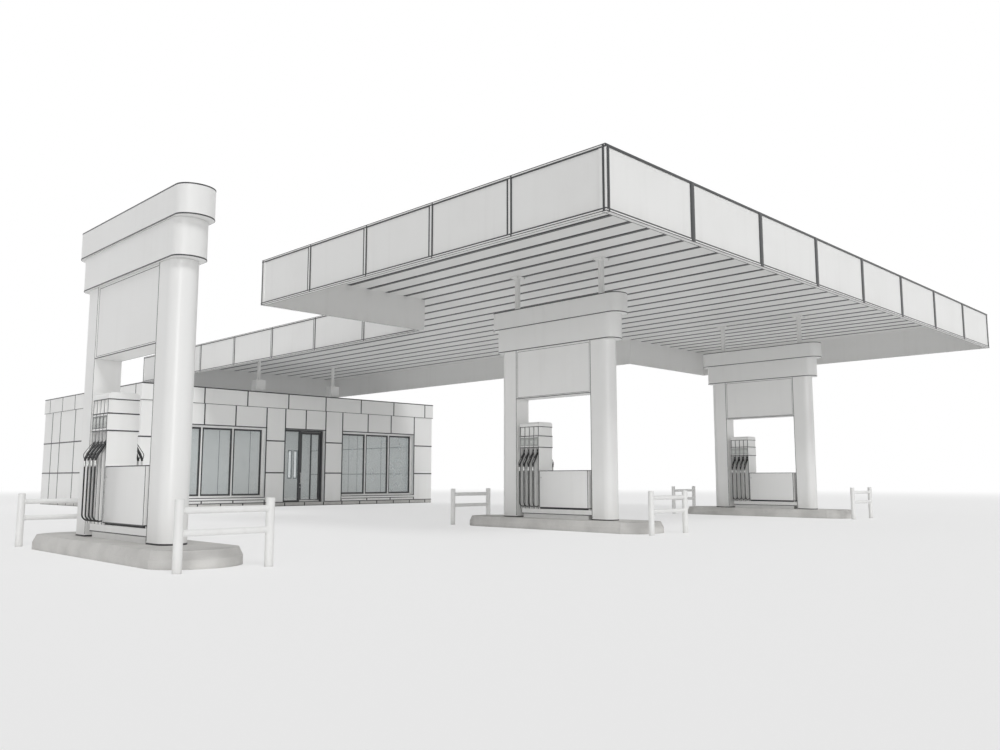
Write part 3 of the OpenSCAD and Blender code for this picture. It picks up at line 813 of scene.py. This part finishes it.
def make_pylon_trim():
    frames, sign_seams, sign_feet, skirts, seams, beads = ([] for _ in range(6))
    tiers = (LOWER_TIER, CAP_FOOT + 0.01), (UPPER_TIER, CAP_STEP + 0.01), (UPPER_TIER, FASCIA_FOOT - 0.01)
    near, far = COLUMN_INNER_Y
    low, high = SIGN_FOOT + SIGN_FRAME, CAP_FOOT - SIGN_FRAME
    skirt_z = ISLAND_H + 0.012
    for x in PYLON_X:
        for sign in flanks(x, SIGN_HALF_W, 0):
            frames += sign.border(near, far, SIGN_FOOT, CAP_FOOT, SIGN_FRAME)
            # A thin dark line just inside each sign's frame is painted shade of the shadow gap between the
            # frame and the face.
            sign_seams += sign.border(near + SIGN_FRAME, far - SIGN_FRAME, low, high, 0.008)
            sign_feet.append(sign.level(SIGN_FOOT + 0.006, near, far))
        for shape, z in tiers:
            beads += [tier.level(z, -shape[1], shape[1]) for tier in flanks(x, shape[0], PORTAL_Y)]
        for end, inner_y in zip((-1, 1), COLUMN_INNER_Y):
            for cheek in flanks(x, COLUMN[0], 0):
                skirts.append(cheek.level(skirt_z, inner_y, PORTAL_Y + end * COLUMN[1]))
                seams.append(cheek.upright(inner_y + end * 0.008, ISLAND_H + 0.04, CAP_FOOT))
            skirts.append(nose_end(x, COLUMN, end, skirt_z))
            skirts.append(Face((x, inner_y), RIGHT, (0, -end)).level(skirt_z, -COLUMN[0], COLUMN[0]))
            beads += [nose_end(x, shape, end, z) for shape, z in tiers]
    strips("sign_frames", frames, paint_pylon, "sign_face", SIGN_FRAME, 0.006, 0.002, edge=0.002)
    strips("sign_seams", sign_seams, paint_dark, "sign_face", 0.008, 0.0015, 0.002, edge=0.0005)
    strips("sign_foot_beads", sign_feet, paint_dark, "sign_face", 0.016, 0.0075, 0.002)
    strips("column_skirts", skirts, gasket_rubber, "pylon_cladding", 0.024, 0.004, 0.004)
    strips("column_seams", seams, paint_dark, "pylon_cladding", 0.014, 0.0015, 0.003, edge=0.0005)
    strips("cap_beads", beads, paint_dark, "pylon_cladding", 0.02, 0.003, 0.003)


def make_rail_fittings():
    posts, collars = [], []
    reach = RAIL_POST_X - RAIL_POST_R + 0.008
    for x in PYLON_X:
        for y in (PYLON_Y - RAIL_POST_Y, PYLON_Y + RAIL_POST_Y):
            for side in (-1, 1):
                posts.append(((x + side * RAIL_POST_X, y, RAIL_POST_TOP), ZERO))
                turn = (0, -side * math.pi / 2, 0)
                collars += [((x + side * reach, y, z), turn) for z in RAIL_BAR_Z]
    cap = [
        (0.0592, -0.012), (0.0592, 0.0005), (0.057, 0.003), (0.048, 0.006), (0.03, 0.0085),
        (0.01, 0.0095),
    ]
    copies("rail_post_caps", skin([turned(cap, sides=32)]), posts, paint_rail, "rail_paint")
    collar = [(0.052, -0.004), (0.052, 0.004), (0.049, 0.009), (0.0445, 0.013)]
    copies("rail_weld_collars", skin([turned(collar, sides=24)]), collars, paint_rail, "rail_paint")


make_pylon_shells()
make_pylon_trim()
make_rail_fittings()


# Dispensers


def bay_copies(name, pattern, finish, slot):
    """A copy in each bay. The pattern is drawn in its bay, with +X away from the dispenser."""
    places = [(place, (0, 0, 0 if side > 0 else math.pi)) for _, place, side in bay_places()]
    return copies(name, pattern, places, finish, slot)


def holster_mesh():
    """Open-mouthed boot for a nozzle's spout."""
    form = bmesh.new()
    bmesh.ops.create_cube(form)
    for vert in form.verts:
        x, y, z = vert.co
        vert.co = Vector((0.156 + x * 0.052, y * 0.056, 1.555 + z * 0.134))
    bmesh.ops.bevel(form, geom=form.edges[:], offset=0.006, segments=2, affect="EDGES", profile=0.5)
    mouth = max(form.faces, key=lambda face: face.normal.x * face.calc_area())
    bmesh.ops.inset_individual(form, faces=[mouth], thickness=0.004)
    bmesh.ops.inset_individual(form, faces=[mouth], thickness=0.0015, depth=-0.034)
    return mesh_from(form)


def make_nozzles():
    body = [
        (0.1915, 1.531, 0.0145, 0.0145), (0.1925, 1.5293, 0.0185, 0.018), (0.199, 1.518, 0.0205, 0.02),
        (0.204, 1.5093, 0.0195, 0.0185), (0.215, 1.4902, 0.0215, 0.0195), (0.245, 1.438, 0.0225, 0.0205),
        (0.275, 1.3858, 0.0215, 0.02), (0.302, 1.3388, 0.0205, 0.019), (0.322, 1.304, 0.0205, 0.019),
        (0.34, 1.27, 0.02, 0.0185), (0.352, 1.242, 0.019, 0.018), (0.3585, 1.218, 0.0175, 0.0175),
        (0.36, 1.2, 0.0165, 0.0165), (0.36, 1.196, 0.014, 0.014),
    ]
    guard = [
        (0.228, 1.49), (0.245, 1.488), (0.262, 1.478), (0.29, 1.44), (0.325, 1.39), (0.362, 1.34),
        (0.38, 1.312), (0.385, 1.29), (0.383, 1.265), (0.376, 1.238), (0.362, 1.22),
    ]
    bridge = swept([(x, z, 0.0042, 0.0095) for x, z in guard], 10, 0.7)
    spout = [(0.148, 1.592), (0.152, 1.586), (0.162, 1.571), (0.174, 1.555), (0.185, 1.541), (0.196, 1.523)]
    splash = [
        (0.1865, 1.5395, 0.012, 0.012), (0.1875, 1.5378, 0.026, 0.026), (0.1905, 1.5326, 0.029, 0.029),
        (0.1925, 1.5291, 0.029, 0.029), (0.1945, 1.5256, 0.018, 0.018),
    ]
    lever = [
        (0.236, 1.478), (0.252, 1.46), (0.27, 1.43), (0.298, 1.385), (0.325, 1.345), (0.342, 1.32),
        (0.35, 1.308),
    ]
    lever = swept([(x, z, 0.0028, 0.0075) for x, z in lever], 8, 0.6)
    swivel = [
        (0.013, 0.07), (0.0165, 0.068), (0.0165, 0.058), (0.015, 0.056), (0.015, 0.052), (0.0185, 0.05),
        (0.0185, 0.034), (0.015, 0.032), (0.015, 0.028), (0.0162, 0.026), (0.0162, -0.03),
        (0.015, -0.034), (0.0124, -0.034),
    ]
    swivel = turned(swivel, HOSE_TAIL[0], 0, HOSE_TAIL[1])
    gland = [
        (0.0124, -0.085), (0.0142, -0.084), (0.0158, -0.05), (0.0172, -0.034), (0.0195, -0.033),
        (0.0195, -0.012), (0.0172, -0.01), (0.0172, -0.008), (0.023, -0.006), (0.023, 0.002),
    ]
    gland = turned(gland, HOSE_INLET[0], HOSE_SHIFT, HOSE_INLET[1])
    for name, pattern, finish in (
        ("nozzle_bodies", skin([swept(body, 14, 0.75), bridge]), nozzle_plastic),
        ("nozzle_spouts", skin([tube(spout, 0.0112)]), fixing_steel),
        ("nozzle_splash_guards", skin([swept(splash, 18)]), gasket_rubber),
        ("nozzle_levers", skin([lever]), fixing_steel),
        ("nozzle_swivels", skin([swivel]), fixing_steel),
    ):
        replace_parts(bay_copies(name, pattern, finish, "nozzle_plastic"), "nozzles")
    bay_copies("hose_glands", skin([gland]), gasket_rubber, "hose_rubber")
    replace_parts(bay_copies("holsters", holster_mesh(), nozzle_plastic, "nozzle_plastic"), "nozzles")


def make_dispenser_seams():
    """Dark seams round the display boxes, cabinets and plinths, and dark strips in the cabinets' necks that
    paint the shade of that recess.
    """
    displays, cabinets, necks = [], [], []
    foot, top = CABINET_Z[0] + SEAM / 2, CABINET_Z[1] - SEAM / 2
    neck_z = (PLINTH_Z[1] + CABINET_Z[0]) / 2
    for x in PYLON_X:
        for z in (DISPLAY_Z[0] + 0.01, DISPLAY_Z[1] - 0.01):
            displays += band(x, DISPLAY_HALF_W, DISPLAY_Y, z, PYLON_Y)
        for z in (foot, top):
            cabinets += band(x, CABINET_HALF_W, CABINET_Y, z, PYLON_Y)[:3]
        for cabinet in flanks(x, CABINET_HALF_W, PYLON_Y):
            ends = CABINET_Y[0] + SEAM / 2, CABINET_Y[1] - SEAM / 2
            cabinets += cabinet.uprights(ends, foot + SEAM / 2, top - SEAM / 2)
        cabinets += band(x, PLINTH_HALF_W, PLINTH_Y, PLINTH_Z[0] + SEAM / 2, PYLON_Y)[:2]
        necks += band(x, NECK_HALF_W, NECK_Y, neck_z, PYLON_Y)[:2]
    dark_strips("dispenser_paint", (
        ("display_box_seams", displays, 0.02, 0.0025, 0.002),
        ("cabinet_seams", cabinets, SEAM, 0.0015, 0.002),
    ), edge=0.0005)
    # Dark rubber strips fill the recessed neck under each cabinet: painted shade of that recess.
    strips("cabinet_neck_seals", necks, gasket_rubber, "dispenser_paint", 0.028, 0.006, 0.002)


def make_dispenser_trim():
    fins, dividers, bezels, screens, doors, locks, crowns = ([] for _ in range(7))
    fin_y = [HOSE_COLUMN_Y[0] + k * BAY_W + FIN_T / 2 for k in range(BAYS + 1)]
    low, high = DISPLAY_Z
    for x in PYLON_X:
        for column in flanks(x, FIN_HALF_W, PYLON_Y):
            fins += column.uprights(fin_y, PLINTH_Z[1], low) + column.uprights(fin_y, high, CROWN_Z)
        for box in flanks(x, DISPLAY_HALF_W, PYLON_Y):
            dividers += box.uprights(fin_y, low + 0.004, high - 0.004)
            for y in fin_y[:-1]:
                start, end = y + SCREEN_INSET, y + BAY_W - SCREEN_INSET
                bezels += box.border(start, end, *SCREEN_Z, 0.008)
                screens.append(box.level(sum(SCREEN_Z) / 2, start + 0.007, end - 0.007))
        for cabinet in flanks(x, CABINET_HALF_W, PYLON_Y):
            doors.append(cabinet.upright(sum(CABINET_DOOR_Y) / 2, *CABINET_DOOR_Z))
            spot = cabinet.spot(CABINET_DOOR_Y[1] - 0.045, LOCK_Z, depth=-0.004)
            locks.append((spot, (0, cabinet.facing.x * math.pi / 2, 0)))
        crowns += band(x, CROWN_HALF_W, CROWN_Y, CROWN_Z + SEAM / 2, PYLON_Y)
    slot = "dispenser_paint"
    strips("fin_edges", fins, paint_dark, slot, FIN_T - 0.002, 0.0015, 0.002)
    strips("display_dividers", dividers, paint_dark, slot, FIN_T - 0.004, 0.0015, 0.002)
    strips("display_bezels", bezels, nozzle_plastic, slot, 0.008, 0.003, 0.002, top=0.005, edge=0.0005)
    strips("display_screens", screens, display_panel, slot, 0.184, 0.001, 0.002, edge=0.0)
    width = CABINET_DOOR_Y[1] - CABINET_DOOR_Y[0]
    strips("cabinet_doors", doors, paint_dispenser, slot, width, 0.004, 0.002, edge=0.0025)
    strips("crown_seams", crowns, paint_dark, slot, SEAM, 0.0015, 0.002, edge=0.0005)
    lock = [
        (0.017, -0.002), (0.017, 0.002), (0.0155, 0.0035), (0.009, 0.0038), (0.009, 0.006),
        (0.0075, 0.007),
    ]
    copies("cabinet_locks", skin([turned(lock, sides=20)]), locks, fixing_steel, slot)


make_nozzles()
make_dispenser_seams()
make_dispenser_trim()


# Shop

WALL_JOINT = 0.05
FRONT_WALL, BACK_WALL = Face((0, SHOP_Y[0]), RIGHT, FRONT), Face((0, SHOP_Y[1]), RIGHT, BACK)
SIDE_WALLS = flanks(SHOP_MIDDLE, SHOP_HALF_W, 0)
MULLIONS_X = (5.5975, 6.9525, 13.6475, 15.0025)
PANEL_Z = (1.41, 2.755)
BACK_JOINTS_X = (4.37, 6.18, 7.99, 9.80, 11.61, 13.42, 15.23)
SIDE_JOINTS_Y = (25.65, 27.43, 28.49, 30.28, 31.34, 33.13, 34.18)
ROOM_JOINTS_Y = (26.09, 28.19, 30.29, 31.07)
EDGE_JOINTS_X = (3.63, 5.55, 7.44, 9.38, 11.28, 13.21, 15.12, 17.06)
EDGE_JOINTS_Y = (25.0, 26.6, 28.2, 29.8, 31.38, 32.91, 34.51)
SLAB_PITCH = 0.975
ROOF_LAPS = 9


def panel_joints(wall, joints, ends):
    """Full-height joints at places along a wall, and level ones between its ends."""
    return wall.uprights(joints, SHOP_FLOOR, EDGE_FOOT) + [wall.level(z, *ends) for z in PANEL_Z]


def make_wall_joints():
    half = WALL_JOINT / 2
    openings = WINDOWS_X + (ENTRANCE_X,)
    edges = [x for start, end in openings for x in (start - half, end + half)]
    runs = FRONT_WALL.uprights(edges, SHOP_FLOOR, EDGE_FOOT)
    runs += FRONT_WALL.uprights((*MULLIONS_X, sum(ENTRANCE_X) / 2), HEAD_Z + 0.002, EDGE_FOOT)
    runs += FRONT_WALL.uprights(MULLIONS_X, SHOP_FLOOR, SILL_FOOT)
    bounds = (SHOP_X[0], *WINDOWS_X[0], *ENTRANCE_X, *WINDOWS_X[1], SHOP_X[1])
    for start, end in zip(bounds[::2], bounds[1::2]):
        start += WALL_JOINT if start > SHOP_X[0] else 0
        end -= WALL_JOINT if end < SHOP_X[1] else 0
        runs += [FRONT_WALL.level(z, start, end) for z in PANEL_Z]
    for wall in SIDE_WALLS:
        runs += panel_joints(wall, SIDE_JOINTS_Y, SHOP_Y)
    window = BACK_WINDOW_X[0] - half, BACK_WINDOW_X[1] + half
    runs += panel_joints(BACK_WALL, BACK_JOINTS_X + window, (SHOP_X[0], window[0] - half))
    runs += panel_joints(BACK_WALL, (), (window[1] + half, SHOP_X[1]))
    left, right, _, back = band(SHOP_MIDDLE, SHOP_HALF_W, SHOP_Y, SHOP_FLOOR + 0.015)
    feet = [FRONT_WALL.level(SHOP_FLOOR + 0.015, *ends) for ends in zip(SHOP_X, ENTRANCE_X)]
    heads = [FRONT_WALL.level(HEAD_Z + 0.02, *ends) for ends in openings]
    sills = [
        FRONT_WALL.level(z, start - 0.02, end + 0.02, depth=-0.035)
        for start, end in WINDOWS_X
        for z in (SILL_FOOT + 0.015, SILL_Z - 0.015)
    ]
    dark_strips("wall_panel", (
        ("wall_joints", runs, WALL_JOINT, 0.008, 0.003),
        ("wall_foot_flashings", feet + [back, left, right], 0.03, 0.012, 0.003),
        ("sill_beads", sills, 0.03, 0.003, 0.003),
        ("opening_head_beads", heads, 0.04, 0.007, 0.003),
    ))


def make_room_joints():
    runs = Face((0, ROOM_Y[1]), RIGHT, FRONT).uprights(BACK_JOINTS_X, SHOP_FLOOR, EDGE_FOOT)
    for wall in flanks(sum(ROOM_X) / 2, (ROOM_X[1] - ROOM_X[0]) / 2, 0, -1):
        runs += panel_joints(wall, ROOM_JOINTS_Y, ROOM_Y)
    strips("room_joints", runs, paint_dark, "wall_panel", 0.035, 0.004, 0.003)


def make_slab_joints():
    runs = []
    for walls, first, count in (((FRONT_WALL, BACK_WALL), 3.5, 15), (SIDE_WALLS, 25.1, 11)):
        for wall in walls:
            runs += wall.uprights([first + SLAB_PITCH * k for k in range(count)], 0.002, SHOP_FLOOR - 0.002)
    strips("slab_joints", runs, gasket_rubber, "floor_concrete", 0.05, 0.002, 0.003)
    # A dark strip round the slab's foot, where it meets the ground, is painted shade.
    feet = band(SHOP_MIDDLE, SHOP_HALF_W, SHOP_Y, 0.009)
    strips("slab_foot_seals", feet, gasket_rubber, "floor_concrete", 0.018, 0.004, 0.003)


def make_roof_edge_trim():
    half_w, span = SHOP_HALF_W + EDGE_OUT, (SHOP_Y[0] - EDGE_OUT, SHOP_Y[1] + EDGE_OUT)
    low, high = EDGE_FOOT + 0.02, EDGE_TOP - 0.04
    joints = []
    for y, facing in zip(span, (FRONT, BACK)):
        joints += Face((0, y), RIGHT, facing).uprights(EDGE_JOINTS_X, low, high)
    for face in flanks(SHOP_MIDDLE, half_w, 0):
        joints += face.uprights(EDGE_JOINTS_Y, low, high)
    tops = [(line, UP) for line, facing in band(SHOP_MIDDLE, half_w, span, EDGE_TOP, depth=EDGE_T / 2)]
    dark_strips("roof_edge", (
        ("roof_edge_joints", joints, WALL_JOINT, 0.004, 0.003),
        ("roof_edge_rails", band(SHOP_MIDDLE, half_w, span, EDGE_TOP - 0.02), 0.04, 0.006, 0.003),
        ("roof_edge_drips", band(SHOP_MIDDLE, half_w, span, EDGE_FOOT + 0.01), 0.02, 0.004, 0.003),
        ("roof_edge_copings", tops, EDGE_T + 0.004, 0.003, 0.003),
    ))
    half_w, span = half_w - EDGE_T, (span[0] + EDGE_T, span[1] - EDGE_T)
    laps = []
    for k in range(1, ROOF_LAPS + 1):
        x = SHOP_MIDDLE + half_w * (2 * k / (ROOF_LAPS + 1) - 1)
        laps.append(([(x, span[0] + 0.6, ROOF_TOP), (x, span[1], ROOF_TOP)], UP))
    strips("roof_laps", laps, roof_lap, "roof_membrane", 0.08, 0.003, 0.002)
    z = ROOF_TOP + 0.07
    flashings = band(SHOP_MIDDLE, half_w, span, z, way=-1)
    for x in PIER_X:
        flashings += band(x, PIER_HALF_W, (-PIER_HALF_W, PIER_HALF_W), z, PIER_Y)
    strips("roof_flashings", flashings, roof_lap, "roof_membrane", 0.14, 0.004, 0.002)


def make_glazing_gaskets():
    """A rubber strip round each pane, outside and inside."""
    panes = [(start + PANE_X + k * PANE_PITCH, PANE_W) for start, _ in WINDOWS_X for k in range(3)]
    fixed = [((x, x + width), PANE_Z, FRONT_GLASS_Y) for x, width in panes]
    fixed += [((x, x + BACK_PANE_W), BACK_PANE_Z, BACK_GLASS_Y) for x in BACK_PANES_X]
    fixed.append((SIDE_LIGHT_X, SIDE_LIGHT_Z, FRONT_GLASS_Y))
    moving = [(ends, DOOR_PANE_Z, DOOR_GLASS_Y) for ends in DOOR_PANES_X]
    for name, panes, body in (("window_gaskets", fixed, "station"), ("door_gaskets", moving, "door")):
        runs = []
        for x, z, y in panes:
            for side in (-1, 1):
                runs += Face((0, y + side * GLASS_HALF_T), RIGHT, (0, side)).border(*x, *z, GASKET)
        strips(name, runs, gasket_rubber, "glass", GASKET, 0.005, 0.002, body=body)


def make_door_fittings():
    pull = [
        (-0.002, 0.0), (0.024, 0.0), (0.034, 0.002), (0.042, 0.008), (0.046, 0.018), (0.047, 0.03),
        (0.047, 0.42), (0.046, 0.432), (0.042, 0.442), (0.034, 0.448), (0.024, 0.45), (-0.002, 0.45),
    ]
    rose = [(0.022, 0.0), (0.022, 0.003), (0.019, 0.006), (0.014, 0.006)]
    x = LEAF_X[0] + 0.045
    pulls, roses, plates = [], [], []
    for y, side in zip(LEAF_Y, (-1, 1)):
        pulls.append(((x, y, PULL_Z), (0, 0, side * math.pi / 2)))
        roses += [((x, y, z), (-side * math.pi / 2, 0, 0)) for z in ROSES_Z]
        plates.append(Face((0, y), RIGHT, (0, side)).level(0.205, LEAF_X[0] + 0.02, LEAF_X[1] - 0.02))
    slot = "frame_metal"
    copies("door_pulls", skin([tube(pull, 0.0125)]), pulls, fixing_steel, slot, "door")
    copies("door_roses", skin([turned(rose, sides=24)]), roses, fixing_steel, slot, "door")
    strips("door_kick_plates", plates, fixing_steel, slot, 0.07, 0.0015, 0.001, edge=0.0, body="door")
    sill = [(x, FRONT_GLASS_Y, SHOP_FLOOR) for x in THRESHOLD_X]
    strips("door_threshold", [(sill, UP)], fixing_steel, slot, 0.09, 0.005, 0.002, top=0.07, edge=0.001)


make_wall_joints()
make_room_joints()
make_slab_joints()
make_roof_edge_trim()
make_glazing_gaskets()
make_door_fittings()


# Light and floor

scene.view_settings.view_transform = "Standard"


def make_lights():
    suns = ("soft_sun", 1.0, 20, 48, -18), ("low_fill", 0.4, 15, 83, -40)
    for name, energy, softness, tilt, turn in suns:
        sun = bpy.data.lights.new(name, "SUN")
        sun.energy = energy
        sun.angle = math.radians(softness)
        placed(name, sun, turn=(math.radians(tilt), 0, math.radians(turn)))
    panels = (
        ("room_light", (12.0, 8.5), 200, (sum(ROOM_X) / 2, sum(ROOM_Y) / 2, 4.05), 0),
        ("ground_reflector", (30.0, 36.0), 600, (*PLAN_MIDDLE.xy, 0.02), math.pi),
        ("roof_reflector", (13.6, 10.0), 90, (SHOP_MIDDLE, sum(SHOP_Y) / 2, 4.42), math.pi),
    )
    for name, (width, depth), energy, place, tilt in panels:
        panel = bpy.data.lights.new(name, "AREA")
        panel.shape = "RECTANGLE"
        panel.size, panel.size_y = width, depth
        panel.energy = energy
        placed(name, panel, plan(place), (tilt, 0, 0)).visible_camera = False
    world = bpy.data.worlds.new("studio")
    scene.world = world
    world.use_nodes = True
    sky = Tree(world.node_tree)
    ray = sky.add("ShaderNodeLightPath", {}, "Is Camera Ray")
    mirrored = sky.add("ShaderNodeLightPath", {}, "Is Glossy Ray")
    strength = sky.add("ShaderNodeMapRange", {0: ray.max(mirrored), 3: 0.42, 4: 1.0})
    background = sky.nodes["Background"]
    sky.put(background.inputs["Color"], (1, 1, 1, 1))
    sky.put(background.inputs["Strength"], strength)


def make_floor():
    """Pale floor that keeps the shadows, lifted towards the background's white and turning to it far out."""
    finish = Finish("studio_floor", (0.9, 0.9, 0.9), 0.9)
    reach = 400.0
    distance = finish.add("ShaderNodeVectorMath", {0: finish.place}, "Value", operation="LENGTH")
    far = distance.between(30, 75)
    ray = finish.add("ShaderNodeLightPath", {}, "Is Camera Ray")
    white = finish.add("ShaderNodeEmission", {"Color": (1, 1, 1, 1), "Strength": 1.0})
    inputs = {0: (far * 0.5 + 0.5) * ray, 1: Signal(finish, finish.shader.outputs[0]), 2: white}
    surface = finish.add("ShaderNodeMixShader", inputs)
    finish.put(finish.nodes["Material Output"].inputs["Surface"], surface)
    mesh = bpy.data.meshes.new("studio_floor")
    corners = [(-reach, -reach, 0), (reach, -reach, 0), (reach, reach, 0), (-reach, reach, 0)]
    mesh.from_pydata(corners, [], [(0, 1, 2, 3)])
    mesh.materials.append(finish.material)
    placed("studio_floor", mesh)


make_lights()
make_floor()
